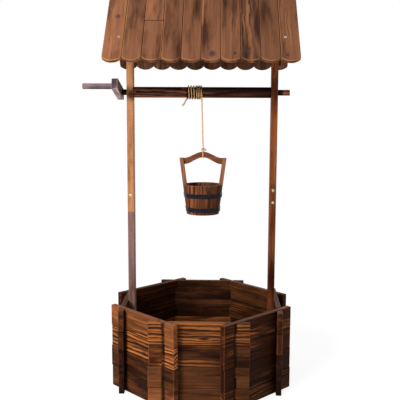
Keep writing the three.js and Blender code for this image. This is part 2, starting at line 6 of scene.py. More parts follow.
import bmesh
import bpy
from mathutils import Matrix, Vector
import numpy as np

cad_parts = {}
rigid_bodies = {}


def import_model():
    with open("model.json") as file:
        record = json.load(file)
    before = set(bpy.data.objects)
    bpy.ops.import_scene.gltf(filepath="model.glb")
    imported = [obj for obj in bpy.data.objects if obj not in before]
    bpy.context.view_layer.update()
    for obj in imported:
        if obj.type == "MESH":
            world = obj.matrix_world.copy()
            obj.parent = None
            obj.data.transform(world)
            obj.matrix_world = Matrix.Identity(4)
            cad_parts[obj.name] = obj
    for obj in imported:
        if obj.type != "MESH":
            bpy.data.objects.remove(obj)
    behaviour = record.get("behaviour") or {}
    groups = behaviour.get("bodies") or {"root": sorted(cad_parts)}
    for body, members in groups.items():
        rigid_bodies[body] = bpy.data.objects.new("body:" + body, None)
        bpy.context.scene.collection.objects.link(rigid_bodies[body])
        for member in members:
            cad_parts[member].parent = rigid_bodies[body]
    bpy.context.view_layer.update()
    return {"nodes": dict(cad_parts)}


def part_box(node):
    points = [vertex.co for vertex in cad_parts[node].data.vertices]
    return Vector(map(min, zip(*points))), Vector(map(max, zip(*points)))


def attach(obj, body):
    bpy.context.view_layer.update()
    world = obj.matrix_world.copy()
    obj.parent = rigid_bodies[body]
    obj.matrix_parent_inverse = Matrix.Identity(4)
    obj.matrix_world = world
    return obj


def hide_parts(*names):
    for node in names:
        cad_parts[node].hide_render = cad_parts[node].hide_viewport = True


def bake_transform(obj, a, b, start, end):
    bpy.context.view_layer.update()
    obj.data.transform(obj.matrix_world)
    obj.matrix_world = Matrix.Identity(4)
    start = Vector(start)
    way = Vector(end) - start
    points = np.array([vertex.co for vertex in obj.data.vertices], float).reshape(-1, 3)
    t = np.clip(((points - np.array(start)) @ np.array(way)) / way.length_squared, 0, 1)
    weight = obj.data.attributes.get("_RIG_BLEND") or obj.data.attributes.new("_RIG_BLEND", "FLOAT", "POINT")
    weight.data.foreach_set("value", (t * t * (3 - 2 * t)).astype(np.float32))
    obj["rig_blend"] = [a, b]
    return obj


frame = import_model()

# The whole scene is in metres and stands where the frame stands: the origin is on the
# ground at the middle of the tub, +Z is up and the front looks towards -Y.
X, Y, Z = Vector((1, 0, 0)), Vector((0, 1, 0)), Vector((0, 0, 1))
FULL_TURN = 2 * pi
WELD = 1e-6
SEAT = 0.0003  # the gap left where two pieces rest on each other
CORNER_STEPS = 3  # round a small corner
chance = random.Random(5)

# Tub
SIDES = ("front", "front_right", "right", "rear_right", "rear", "rear_left", "left", "front_left")
COURSES = 4
CROSSING_OUT = 0.1106  # where the next side's boards cross a board's face, from its middle
CROSSING_IN = 0.0851
MOST_SLIP = 0.0028  # how much a board is cut longer or shorter
SLIP_REACH = 0.008  # how much of its end moves with that

# Roof
SLOPES = (("front", 1), ("rear", -1))
SLATS = 10
SLAT_GAP = 0.0001
SLAT_THICKNESS = 0.012
SLAT_LENGTH = 0.325
SLAT_EASE = 0.0022
SCALLOP_RADIUS = 0.037
ROOF_PITCH = radians(47.73)
BATTEN_WIDTH = 0.030
BATTEN_THICKNESS = 0.012
BATTENS_AT = (0.080, 0.258)  # from the ridge, down the slope
BUTT_JOINT = 0.150  # across the third front slat, from the ridge
BUTT_EASE = 0.0008

# Roller, with X from the middle of the well
ROLLER_CHAMFER = 0.0075
# CHAMFER_FROM marks where painted shade on the roller's upper chamfers begins; UNDER_ROPE and POST_FACE bound
# the painted shade under the wound rope and left of the post, and TONE_CUTS cut the roller at their edges.
CHAMFER_FROM = 0.0055  # from the axle, where the chamfers' tone begins
JOURNAL_FROM = 0.262  # from the roller's own middle
UNDER_ROPE = (-0.0505, -0.0155)
POST_FACE = -0.235
TONE_CUTS = (-0.236, -0.232, -0.055, -0.050, -0.016, -0.011)

# Rope
ROPE = 0.005
ROPE_LAY = 0.016  # the length in which a strand goes round once
ROPE_REACH = ROPE / 2 + SEAT
ROPE_STEP = 0.001
BEND_STEPS = 5
EXIT_X = -0.001
EXIT_SPREAD = 0.001
ROPE_TURNS = 6.75
TIGHT_TURNS = 3
TIGHT_PITCH = 0.0055
LOOSE_PITCH = 0.0085
TAIL_ROUTE = (  # from the axle
    (-0.0505, -0.003, -0.0208), (-0.0525, -0.008, -0.0235), (-0.0545, -0.011, -0.028),
    (-0.057, -0.012, -0.0335), (-0.060, -0.0115, -0.0385), (-0.064, -0.011, -0.0425),
)
SPLAY_REACH = 0.010
FRAY_FIBRES = 16
FRAY_STEPS = 5
KNOT_ROPE = ROPE * 0.92
KNOT_DROP = 0.0065  # from the end of the fall to the middle of the knot
WRAP_TURNS = 2.1
WRAP_POINTS = 66
WRAP_HEIGHT = 0.0092
WRAP_END = ((0.0055, -0.0025, -0.0035), (0.0085, -0.0025, -0.001), (0.011, -0.002, 0.002))
LOOP = 0.0038  # the thinner loop round the bucket's handle

# Bucket, from its own base
STAVES = 12
STAVE_THICKNESS = 0.012
STAVE_EASE = 0.0010
STAVE_GAP = 0.0002
FLARE = tan(radians(7.463))  # how far the wall leans out for its height
HOOP_THICKNESS = 0.0015
LAP_FROM, LAP_TURN = radians(-28), radians(17)
HANDLE_HEIGHT = 0.0185
HANDLE_SETDOWN = 0.002

# Screws
SCREW_RADIUS = 0.0042
CROSS_DEPTH = 0.0011
CROSS_HALF_WIDTH = 0.00062
LAP_SCREWS = (  # name, hand, 1 in front or -1 behind, height, turn of the cross
    ("left_front", -1, 1, 0.641, 0.6),
    ("left_rear", -1, -1, 0.620, 0.6),
    ("right_upper", 1, 1, 0.661, 0.2),
    ("right_lower", 1, 1, 0.620, 0.9),
)
ROOF_SCREW_HEIGHT = 1.149


def middle_of(node, axis):
    """The middle of a CAD solid's box along one axis, from 0 to 2."""
    low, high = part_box(node)
    return (low[axis] + high[axis]) / 2


# Places that the frame gives
roller_low, roller_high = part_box("windlass_roller")
fall_low, fall_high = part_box("rope_fall")
base_low, base_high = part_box("bucket_staves_front")
ear_low, ear_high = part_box("bucket_ear_right")
handle_low, handle_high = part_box("bucket_handle")
bucket_x, bucket_y = middle_of("bucket_bottom", 0), middle_of("bucket_bottom", 1)
bucket_base = base_low.z
base_radius = (ear_high.x - bucket_x) - (ear_high.z - bucket_base) * FLARE
ridge = max(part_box("front_roof_slope")[1].z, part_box("rear_roof_slope")[1].z)
roof_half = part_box("front_roof_slope")[1].x
axle = Vector((0, 0, middle_of("windlass_roller", 2)))


# ---- camera and lamps


def placed(name, data):
    made = bpy.data.objects.new(name, data)
    bpy.context.scene.collection.objects.link(made)
    return made


def camera():
    """The photograph's viewpoint."""
    data = bpy.data.cameras.new("camera")
    data.sensor_width = 36
    data.lens = 61.93
    made = placed("camera", data)
    turn, pitch, roll = 0.0253, 0.1366, 0.0041
    rotation = (
        Matrix.Rotation(turn, 4, "Z")
        @ Matrix.Rotation(pi / 2 - pitch, 4, "X")
        @ Matrix.Rotation(roll, 4, "Z")
    )
    made.matrix_world = Matrix.Translation((0.05235, -2.30546, 0.9414)) @ rotation
    bpy.context.scene.camera = made


def lamp(name, place, size, power):
    """A round lamp that is turned to the middle of the well."""
    data = bpy.data.lights.new(name, "AREA")
    data.shape = "DISK"
    data.size = size
    data.energy = power
    made = placed(name, data)
    made.location = place
    aim = Vector((0, 0, 0.6)) - Vector(place)
    made.rotation_euler = aim.to_track_quat("-Z", "Y").to_euler()


# ---- materials

MATERIALS = {}  # by slot
MARKS = ("place", "half", "pith", "knot", "look", "zone", "wear", "seam", "ends")


def colour(red, green, blue):
    """A colour as a picker shows it, from 0 to 255, in the renderer's own scale."""
    def linear(value):
        share = value / 255
        return share / 12.92 if share <= 0.04045 else ((share + 0.055) / 1.055) ** 2.4

    return (linear(red), linear(green), linear(blue), 1.0)


class Shader:
    """A material, or the world, whose nodes are written as formulas."""

    def __init__(self, owner):
        owner.use_nodes = True
        self.tree = owner.node_tree

    def node(self, kind, inputs, **settings):
        made = self.tree.nodes.new("ShaderNode" + kind)
        for key, value in settings.items():
            setattr(made, key, value)
        for socket, value in inputs.items():
            self.put(made.inputs[socket], value)
        return made

    def out(self, kind, inputs, give=0, **settings):
        return self.node(kind, inputs, **settings).outputs[give]

    def put(self, socket, value):
        if isinstance(value, bpy.types.NodeSocket):
            self.tree.links.new(value, socket)
        else:
            socket.default_value = value

    def set(self, **values):
        for name, value in values.items():
            self.put(self.tree.nodes["Principled BSDF"].inputs[name.replace("_", " ")], value)

    def attribute(self, name):
        return self.out("Attribute", {}, "Vector", attribute_name=name)

    def spot(self):
        return self.out("TexCoord", {}, "Object")

    def seen(self):
        """1 for what the camera sees, also in a mirror or through glass, and 0 for what only lights."""
        path = self.node("LightPath", {}).outputs
        mirrored = self.higher(path["Is Glossy Ray"], path["Is Transmission Ray"])
        return self.higher(path["Is Camera Ray"], mirrored)

    def math(self, operation, a, b=0.0, c=0.0):
        return self.out("Math", {0: a, 1: b, 2: c}, operation=operation)

    add = partialmethod(math, "ADD")
    less = partialmethod(math, "SUBTRACT")
    times = partialmethod(math, "MULTIPLY")
    over = partialmethod(math, "DIVIDE")
    higher = partialmethod(math, "MAXIMUM")
    size = partialmethod(math, "ABSOLUTE")

    def between(self, share, a, b):
        return self.math("MULTIPLY_ADD", share, self.less(b, a), a)

    def centred(self, value, width):
        """Noise as a shift, half of the width to each side."""
        return self.math("MULTIPLY_ADD", value, width, -width / 2)

    def vector(self, operation, a, b=(0, 0, 0)):
        give = "Value" if operation == "LENGTH" else "Vector"
        return self.out("VectorMath", {0: a, 1: b}, give, operation=operation)

    def parts(self, vector):
        return self.node("SeparateXYZ", {0: vector}).outputs

    def joined(self, x, y, z):
        return self.out("CombineXYZ", {0: x, 1: y, 2: z})

    def noise(self, place, stretch, detail, roughness=0.5, give="Fac"):
        """Noise with so many features a metre along each axis."""
        spread = self.vector("MULTIPLY", place, stretch)
        sockets = {"Vector": spread, "Scale": 1.0, "Detail": detail, "Roughness": roughness}
        return self.out("TexNoise", sockets, give)

    def band(self, value, low, high, to_low=0.0, to_high=1.0):
        """A smooth step from one value to another while the input goes from low to high."""
        sockets = {"Value": value, "From Min": low, "From Max": high, "To Min": to_low, "To Max": to_high}
        return self.out("MapRange", sockets, interpolation_type="SMOOTHSTEP")

    def mix(self, share, a, b, blend="MIX"):
        return self.out("Mix", {0: share, 6: a, 7: b}, 2, data_type="RGBA", blend_type=blend)

    def ramp(self, value, stops):
        made = self.node("ValToRGB", {0: value})
        points = made.color_ramp.elements
        while len(points) < len(stops):
            points.new(1.0)
        for point, (place, shade) in zip(points, stops):
            point.position, point.color = place, shade
        return made.outputs[0]

    def bump(self, height, distance, strength):
        sockets = {"Height": height, "Distance": distance, "Strength": strength}
        self.set(Normal=self.out("Bump", sockets))


def material(name, slot=None):
    made = MATERIALS[slot or name] = bpy.data.materials.new(name)
    return Shader(made)


def wood(
    slot, ring, char, early, middle, late, charred, worn, heart=(26, 17, 15), soot=(116, 90, 72), spots=0.0,
    crossings=(), knot_length=7.0, zone_reach=(0.080, 0.016), waves=1.0, shine=0.1,
):
    """Sawn wood that is solid in depth: rings round a pith, fibres, scorching, a knot and worn edges.

    It reads what grained() writes on a piece: the place in its board, the board's half size,
    its pith, its knot, its look (tone, scorching, strength of the rings), its zone (a place
    and how much clearer or sootier it is there), its wear (of the ends, where a minus paints shade
    in a butt joint, and of both long edges) and its seams (dirt and painted shade along both long
    edges, wear and painted light on the upper face), and its ends (how much lighter each one is than
    the board, and where they begin).
    """
    s = material(slot)
    early, middle, late, charred, worn, heart, soot = (
        colour(*shade) for shade in (early, middle, late, charred, worn, heart, soot)
    )
    place, half, pith, knot, look, zone, wear, seam, ends = (s.attribute(f"board_{mark}") for mark in MARKS)
    tone, charring, stripes = s.parts(look)
    x, y, z = s.parts(place)
    solid = s.vector("ADD", place, pith)
    wander = s.parts(s.noise(solid, (2.6, 11, 11), 3, give="Color"))
    wobble = s.parts(s.noise(solid, (15, 55, 55), 2, give="Color"))
    _, across, depth = s.parts(solid)
    uneven_x = s.add(x, s.centred(wobble[0], 0.012))
    uneven_y = s.add(y, s.centred(wobble[1], 0.006))

    def nearness(at_x, at_y, reach_x, reach_y):
        off_x = s.over(s.less(uneven_x, at_x), reach_x)
        off_y = s.over(s.less(uneven_y, at_y), reach_y)
        off = s.vector("LENGTH", s.joined(off_x, off_y, 0.0))
        return s.math("EXPONENT", s.times(s.times(off, off), -1.0))

    def bent(line, way):
        wide = s.add(line, s.centred(wander[way], 0.044 * waves))
        return s.add(wide, s.centred(wobble[way], 0.009 * waves))

    zone_x, zone_y, zone_lift = s.parts(zone)
    lift = s.times(nearness(zone_x, zone_y, *zone_reach), zone_lift)
    knot_x, knot_y, knot_size = s.parts(knot)
    pull = nearness(knot_x, knot_y, s.times(knot_size, knot_length), s.times(knot_size, 1.9))

    # The rings, which part and run round the knot.
    straight = s.vector("LENGTH", s.joined(0.0, bent(across, 0), bent(depth, 1)))
    apart = s.times(s.times(pull, s.less(uneven_y, knot_y)), s.over(across, straight))
    radius = s.less(straight, apart)
    years = s.noise(s.joined(s.times(radius, 38), 0.0, 0.0), (1, 1, 1), 1)
    rings = s.math("FRACT", s.add(s.over(radius, ring), s.times(years, 2.4)))
    stops = ((0.0, early), (0.35, early), (0.6, middle), (0.74, late), (0.85, charred), (0.94, charred))
    grain = s.ramp(rings, (*stops, (1.0, early)))

    # Where the rings are weak, the wood is one plain middle tone.
    patches = s.noise(solid, (3.2, 30, 30), 3)
    strength = s.band(s.add(s.add(patches, stripes), s.times(lift, 0.5)), 0.8, 1.25)
    shade = s.mix(strength, middle, grain)
    streaks = s.noise(solid, (5, 150, 150), 4, 0.6)
    shade = s.mix(s.band(streaks, 0.46, 0.72, 0.0, 0.6), shade, late)
    shade = s.mix(s.band(streaks, 0.48, 0.26, 0.0, 0.45), shade, early)
    fibres = s.noise(solid, (20, 800, 800), 3, 0.7)
    shade = s.mix(s.band(fibres, 0.52, 0.78, 0.0, 0.4), shade, charred)

    # Scorching darkens the wood and leaves its grain in sight.
    cloud = s.noise(s.vector("ADD", solid, (9, 0, 0)), (5, 26, 26), 4, 0.62)
    scorched = s.band(s.less(s.add(cloud, s.times(charring, char)), s.times(lift, 0.3)), 0.5, 0.84)
    shade = s.mix(scorched, shade, soot, "MULTIPLY")
    if spots:
        stain = s.less(s.noise(s.vector("ADD", solid, (21, 0, 0)), (9, 60, 60), 4, 0.6), s.times(lift, 0.12))
        shade = s.mix(s.band(stain, 0.62, 0.76, 0.0, spots), shade, colour(50, 40, 44))
    # Painted shadow where the next side's boards cross this board's outer face.
    for at in crossings:
        dark = s.band(s.size(s.less(s.size(x), at)), 0.009, 0.001, 0.0, 0.8)
        shade = s.mix(s.times(dark, s.band(z, -0.002, 0.002)), shade, colour(14, 8, 5))

    # Worn arrises and ends, with wear and painted light on an upper face; dirt and painted shade in the seams
    # beside the next board; painted shade in a butt joint.
    to_faces = s.parts(s.vector("SUBTRACT", half, s.vector("ABSOLUTE", place)))
    rubbed = s.centred(streaks, 0.006)
    wear_end, wear_low, wear_high = s.parts(wear)
    seam_low, seam_high, upper_face_wear_and_light = s.parts(seam)
    high = s.band(y, -0.0005, 0.0005)
    seam_dirt_and_shade = s.between(high, seam_low, seam_high)
    inside = s.less(s.less(to_faces[1], s.times(seam_dirt_and_shade, 0.0011)), rubbed)
    at_edge = s.times(s.band(inside, 0.0024, 0.0006), s.between(high, wear_low, wear_high))
    at_end = s.band(s.less(s.higher(to_faces[0], to_faces[2]), rubbed), 0.0026, 0.0004)
    on_face = s.band(s.less(s.parts(half)[1], y), 0.0014, 0.0004)
    bare = s.higher(s.times(at_end, s.higher(wear_end, 0.0)), s.higher(at_edge, s.times(on_face, upper_face_wear_and_light)))
    shade = s.mix(s.times(bare, s.band(streaks, 0.2, 0.6, 1.0, 0.55)), shade, worn)
    shade = s.mix(s.times(s.band(to_faces[1], 0.0016, 0.0007), seam_dirt_and_shade), shade, colour(24, 14, 10))
    # Painted shade in a butt joint, where the wear of the end is below nought.
    butt = s.times(s.band(to_faces[0], 0.0026, 0.0014), s.times(wear_end, -1.0))
    shade = s.mix(s.higher(butt, 0.0), shade, colour(40, 26, 20))
    shade = s.mix(s.band(pull, 0.56, 0.95, 0.0, 0.9), shade, heart)

    end_low, end_high, end_from = s.parts(ends)
    past = s.band(s.less(s.size(x), end_from), 0.0, 0.004)
    of_end = s.between(s.band(x, -0.001, 0.001), end_low, end_high)
    tone = s.times(tone, s.math("MULTIPLY_ADD", past, of_end, 1.0))
    tinted = s.out("HueSaturation", {"Value": tone, "Color": shade})
    s.set(Base_Color=tinted, Roughness=s.band(fibres, 0.3, 0.8, 0.56, 0.76), Specular_IOR_Level=shine)
    relief = s.times(s.band(rings, 0.6, 0.85), strength)
    height = s.add(s.times(relief, -0.7), s.times(fibres, 0.8))
    s.bump(s.less(height, s.times(scorched, 0.3)), 0.0007, 0.6)


def rope_fibre():
    """Twisted plant fibre: pale crowns, painted shade in the grooves between strands, and fine hairs along
    each strand.
    """
    s = material("rope_fibre", "rope")
    along, around, crown = s.parts(s.attribute("strand_place"))
    lines = s.noise(s.joined(s.times(along, 160), s.times(around, 2200), 0.0), (1, 1, 1), 3)
    spots = s.noise(s.joined(s.times(along, 45), around, 0.0), (1, 1, 1), 2)
    # Painted shade: the lower the crown, the darker the strand, near black in the grooves.
    shade = s.mix(s.band(crown, -0.5, 0.8), colour(40, 24, 13), colour(196, 144, 88))
    shade = s.mix(s.band(crown, 0.8, 1.6), shade, colour(228, 198, 156))
    shade = s.mix(s.band(lines, 0.5, 0.75, 0.0, 0.5), shade, colour(124, 86, 52))
    shade = s.mix(s.band(spots, 0.5, 0.8, 0.0, 0.4), shade, colour(216, 184, 142))
    s.set(Base_Color=shade, Roughness=0.88, Specular_IOR_Level=0.2)
    s.bump(lines, 0.0004, 0.7)


def hoop_metal():
    """Steel strip under thin black paint, rubbed along its edges."""
    s = material("hoop_metal")
    scuffs = s.noise(s.spot(), (60, 60, 400), 4, 0.65)
    rim = s.parts(s.attribute("strip_place"))[0]
    bare = s.band(s.add(rim, s.times(scuffs, 0.5)), 1.1, 1.35, 0.0, 0.6)
    shade = s.mix(s.band(scuffs, 0.4, 0.75), colour(12, 12, 18), colour(27, 28, 37))
    shade = s.mix(bare, shade, colour(108, 98, 96))
    s.set(Base_Color=shade, Roughness=s.band(scuffs, 0.3, 0.8, 0.2, 0.42), Specular_IOR_Level=0.12)
    s.bump(s.noise(s.spot(), (900, 900, 900), 2), 0.0002, 0.4)


def screw_metal():
    """Zinc plate, dulled outdoors."""
    s = material("screw_metal")
    dull = s.noise(s.spot(), (700, 700, 700), 3)
    shade = s.mix(s.band(dull, 0.4, 0.7), colour(206, 208, 190), colour(150, 148, 128))
    s.set(Base_Color=shade, Metallic=0.75, Roughness=s.band(dull, 0.3, 0.7, 0.3, 0.5))
    s.bump(dull, 0.0001, 0.5)


wood(
    "burnt_wood", 0.0105, 0.5, (164, 95, 46), (93, 53, 28), (60, 33, 17), (19, 9, 4), (146, 94, 62),
    soot=(114, 98, 86), crossings=(CROSSING_OUT, CROSSING_IN), shine=0.06,
)
wood(
    "roof_wood", 0.010, 0.30, (164, 108, 68), (128, 83, 57), (98, 64, 49), (60, 43, 40), (206, 138, 84),
    heart=(66, 50, 50), soot=(136, 126, 128), spots=0.55, knot_length=2.4, shine=0.08,
)
wood(
    "post_light_wood", 0.009, 0.3, (200, 142, 96), (180, 122, 80), (154, 96, 58), (104, 62, 38),
    (200, 152, 114), zone_reach=(0.020, 0.016),
)
wood(
    "post_dark_wood", 0.009, 0.15, (152, 116, 106), (130, 96, 89), (106, 74, 70), (78, 52, 48),
    (164, 124, 108),
)
wood(
    "post_red_wood", 0.009, 0.4, (164, 95, 50), (126, 69, 35), (88, 44, 22), (48, 24, 14), (164, 104, 62),
    zone_reach=(0.060, 0.030), shine=0.05,
)
wood(
    "roller_wood", 0.010, 0.5, (92, 54, 38), (42, 22, 14), (26, 13, 8), (10, 5, 4), (96, 56, 36),
    zone_reach=(0.120, 0.030), shine=0.03,
)
wood(
    "crank_wood", 0.008, 0.5, (172, 142, 138), (138, 113, 114), (104, 88, 94), (60, 52, 60), (176, 134, 108),
    soot=(104, 110, 124), zone_reach=(0.080, 0.012),
)
wood(
    "stave_wood", 0.009, 0.45, (148, 88, 50), (104, 60, 38), (66, 37, 24), (22, 13, 10), (156, 106, 76),
    waves=0.3, shine=0.06,
)
rope_fibre()
hoop_metal()
screw_metal()


# ---- making pieces

# What grained() writes unless it is told otherwise: no knot, no zone, slight wear, and no dirt or painted
# shade in the seams.
PLAIN_MARKS = {
    "knot": (10.0, 0.0, 0.01),
    "zone": (0.0, 0.0, 0.0),
    "wear": (0.35, 0.15, 0.15),
    "seam": (0.0, 0.0, 0.0),
    "ends": (0.0, 0.0, 1.0),
}


def spoke(side, up, turn):
    """The direction at so much turn from side towards up."""
    return side * cos(turn) + up * sin(turn)


def mesh_of(name, tubes):
    """A mesh of closed tubes, each through rings of points with a cap on both ends."""
    points, faces = [], []
    for rings in tubes:
        first, count = len(points), len(rings[0])
        points += [tuple(p) for ring in rings for p in ring]
        starts = range(first, len(points), count)
        for a, b in zip(starts, starts[1:]):
            faces += [(a + k, a + (k + 1) % count, b + (k + 1) % count, b + k) for k in range(count)]
        faces += [tuple(reversed(range(first, first + count))), tuple(range(starts[-1], len(points)))]
    mesh = bpy.data.meshes.new(name)
    mesh.from_pydata(points, [], faces)
    return mesh


def write(mesh, name, rows):
    """Writes a vector on each point."""
    written = mesh.attributes.new(name, "FLOAT_VECTOR", "POINT")
    written.data.foreach_set("vector", [c for row in rows for c in row])


def shown(name, mesh, slot, body, node=None, sharp=38.0):
    """Puts a finished mesh in the scene as a piece that rides on a body."""
    made = placed(name, mesh)
    mesh.materials.clear()
    mesh.materials.append(MATERIALS[slot])
    mesh.polygons.foreach_set("use_smooth", [True] * len(mesh.polygons))
    mesh.set_sharp_from_angle(angle=radians(sharp))
    made.modifiers.new("even_shading", "WEIGHTED_NORMAL").keep_sharp = True
    if body:
        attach(made, body)
    if node:
        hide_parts(node)
    return made


def rounded(node, edge, axis, cuts):
    """A CAD solid's own mesh, with its edges eased, and cut across the axis at some places."""
    mesh = frame["nodes"][node].data.copy()
    shape = bmesh.new()
    shape.from_mesh(mesh)
    bmesh.ops.remove_doubles(shape, verts=shape.verts, dist=WELD)
    bmesh.ops.dissolve_limit(shape, angle_limit=radians(1), verts=shape.verts, edges=shape.edges)
    bend = radians(25)
    sharp = [e for e in shape.edges if e.is_manifold and e.calc_face_angle() > bend]
    bmesh.ops.bevel(
        shape, geom=sharp, offset=edge, segments=2, profile=0.5, affect="EDGES", clamp_overlap=True
    )
    for at in cuts:
        whole = [*shape.verts, *shape.edges, *shape.faces]
        bmesh.ops.bisect_plane(shape, geom=whole, plane_co=axis * at, plane_no=axis)
    if cuts:  # which leave the faces in another order each run
        for number, face in enumerate(sorted(shape.faces, key=lambda f: f.calc_center_median()[:])):
            face.index = number
        shape.faces.sort()
    shape.to_mesh(mesh)
    shape.free()
    return mesh


def skin(name, rings):
    """One tube, its faces turned outwards."""
    mesh = mesh_of(name, [rings])
    shape = bmesh.new()
    shape.from_mesh(mesh)
    bmesh.ops.recalc_face_normals(shape, faces=shape.faces)
    shape.to_mesh(mesh)
    shape.free()
    return mesh


def rounded_rectangle(half_a, half_b, radius, side_steps=1):
    """Points round a rectangle with round corners, with extra points along its two long sides."""
    points = []
    for side, (a, b) in enumerate(((1, 1), (-1, 1), (-1, -1), (1, -1))):
        for k in range(CORNER_STEPS + 1):
            turn = pi / 2 * (side + k / CORNER_STEPS)
            from_middle = (a * (half_a - radius), b * (half_b - radius))
            points.append((from_middle[0] + radius * cos(turn), from_middle[1] + radius * sin(turn)))
        if side % 2 == 0:
            first, flat = points[-1], 2 * (half_a - radius)
            points += [(first[0] - a * flat * k / side_steps, first[1]) for k in range(1, side_steps)]
    return points


def grained(piece, along, across, look, pith=None, **marks):
    """Writes on each point where it lies in its board, for the wood materials."""
    pith = pith or any_pith(len(bpy.data.objects))
    axes = (Vector(along).normalized(), Vector(across).normalized())
    axes += (axes[0].cross(axes[1]),)
    mesh = piece.data
    places = [[axis.dot(v.co) for axis in axes] for v in mesh.vertices]
    low, high = (tuple(f(c) for c in zip(*places)) for f in (min, max))
    middle = [(a + b) / 2 for a, b in zip(low, high)]
    half = [(b - a) / 2 for a, b in zip(low, high)]
    told = PLAIN_MARKS | {"half": half, "pith": pith, "look": look} | marks
    for mark, value in told.items():
        write(mesh, f"board_{mark}", [value] * len(places))
    write(mesh, "board_place", [[p - m for p, m in zip(place, middle)] for place in places])
    return piece


def carved(name, rings, slot, body, node, along, across, look, **marks):
    """A piece of wood through rings of points."""
    made = shown(name, skin(name, rings), slot, body, node)
    return grained(made, along, across, look, **marks)


def toned(piece, factor):
    """Makes a piece lighter or darker from place to place in its board."""
    places = piece.data.attributes["board_place"].data
    for told, at in zip(piece.data.attributes["board_look"].data, places):
        told.vector.x *= factor(*at.vector)


def draws(*ranges):
    return [chance.uniform(*ends) for ends in ranges]


def any_pith(number, width=0.05):
    """A pith for a board: its own stretch of the log, and the heart somewhere beside it."""
    side = chance.choice((-1, 1))
    across, depth = draws((0.4, 1.5), (0.03, 0.07))
    return (1.9 * number, side * across * width, depth)


def board(
    node, slot, along, across, look, edge=0.0015, body="frame", sharp=38.0, slips=(0.0, 0.0), cuts=(), **marks
):
    """One plain piece of wood, shaped as its CAD solid, its two ends cut long or short by the slips."""
    along = Vector(along).normalized()
    mesh = rounded(node, edge, along, cuts)
    reach = [along.dot(v.co) for v in mesh.vertices]
    low, high = min(reach), max(reach)
    for vertex, at in zip(mesh.vertices, reach):
        slip = slips[0] if at < low + SLIP_REACH else slips[1] if at > high - SLIP_REACH else 0.0
        vertex.co += along * slip
    made = shown(node + "_wood", mesh, slot, body, node, sharp)
    return grained(made, along, across, look, **marks)


# ---- tub and posts

# The boards in sight, by side and from the ground up: tone, scorching, strength of the rings.
TUB_LOOKS = {
    "front": ((0.82, 0.25, 0.25), (0.70, 0.2, 0.1), (0.64, 0.4, 0.35), (0.81, 0.15, 0.75)),
    "front_right": ((0.49, 0.65, 0.55), (1.16, 0.75, 0.2), (1.38, 0.75, 0.4), (1.25, 0.7, 0.45)),
    "right": ((0.8, 0.6, 0.4), (0.75, 0.7, 0.4), (0.8, 0.6, 0.3), (0.85, 0.6, 0.4)),
    "rear": (None, None, (0.8, 0.5, 0.4), (0.8, 0.5, 0.3)),
    "left": ((0.9, 0.4, 0.2), (0.9, 0.4, 0.2), (0.9, 0.4, 0.3), (0.9, 0.4, 0.2)),
    "front_left": ((1.1, 0.4, 0.35), (1.25, 0.4, 0.15), (1.4, 0.15, 0.8), (1.5, 0.15, 0.3)),
}
# How much lighter than its board each end is, outside the crossing.
TUB_ENDS = {
    "front": ((1.7, -0.3), (0.87, 0.1), (2.5, 0.05), (0.35, 0.0)),
    "front_right": ((2.3, 1.35), (0.0, 0.1), (-0.04, 0.38), (0.15, 0.8)),
    "right": ((-0.69, 0.0), (-0.25, 0.0), (2.1, 0.0), (0.4, 0.0)),
    "left": ((0.0, -0.6), (0.0, -0.5), (0.0, -0.5), (0.0, 0.1)),
    "front_left": ((0.1, 1.55), (0.0, 0.0), (-0.2, 0.0), (0.7, 0.2)),
}
# What single boards have besides: a knot, from the board's middle, and its size; a place with clearer
# rings and less soot, or with a minus the other way; a pith below or above the board, for straight lines.
TUB_MARKS = {
    "front_4": {"knot": (0.014, -0.0155, 0.0046), "zone": (0.0, -0.010, 0.2), "pith": (3.1, 0.085, 0.020)},
    "front_3": {"zone": (-0.020, -0.026, 1.0), "pith": (7.7, -0.080, 0.030)},
    "front_2": {"zone": (0.030, -0.030, 0.7)},
    "front_1": {"zone": (0.0, -0.030, -0.6)},
    "front_left_4": {"zone": (0.0, -0.030, 0.7)},
    "front_left_3": {"knot": (-0.100, 0.012, 0.005), "pith": (12.3, 0.090, 0.025)},
    "front_left_1": {"zone": (0.02, 0.012, -0.8)},
    "front_right_4": {"knot": (0.060, -0.006, 0.006), "zone": (-0.035, -0.006, 0.8)},
    "front_right_3": {"zone": (-0.040, 0.012, 0.6)},
    "front_right_1": {"zone": (-0.020, 0.004, 1.1), "pith": (15.1, 0.075, 0.035)},
}


def tub():
    plain = (None,) * COURSES
    for i, side in enumerate(SIDES):
        along = spoke(X, Y, FULL_TURN * i / len(SIDES))
        for course in range(1, COURSES + 1):
            key = f"{side}_{course}"
            look = draws((0.75, 1.0), (0.2, 0.7), (0.1, 0.6))
            marks = {"pith": any_pith(COURSES * i + course)} | TUB_MARKS.get(key, {})
            slips = draws((-MOST_SLIP, MOST_SLIP), (-MOST_SLIP, MOST_SLIP))
            look = TUB_LOOKS.get(side, plain)[course - 1] or look
            ends = TUB_ENDS.get(side, plain)[course - 1] or (0.0, 0.0)
            top = course == COURSES
            # The top course's upper face gets wear and painted light, and the seams between courses get dirt
            # and painted shade.
            board(
                f"tub_board_{key}", "burnt_wood", along, Z, look, edge=0.0016, slips=slips,
                wear=(0.35, 0.0, 0.3 if top else 0.0), ends=ends + (CROSSING_OUT,),
                seam=(0.0 if course == 1 else 0.8, 0.0 if top else 0.8, 0.3 if top else 0.0), **marks,
            )
    for place in ("front", "middle", "rear"):
        board(f"floor_bearer_{place}", "burnt_wood", X, Y, (0.9, 0.4, 0.3))
    board("floor_deck", "burnt_wood", Y, X, (0.95, 0.3, 0.6), pith=(4, 0.03, 0.05))


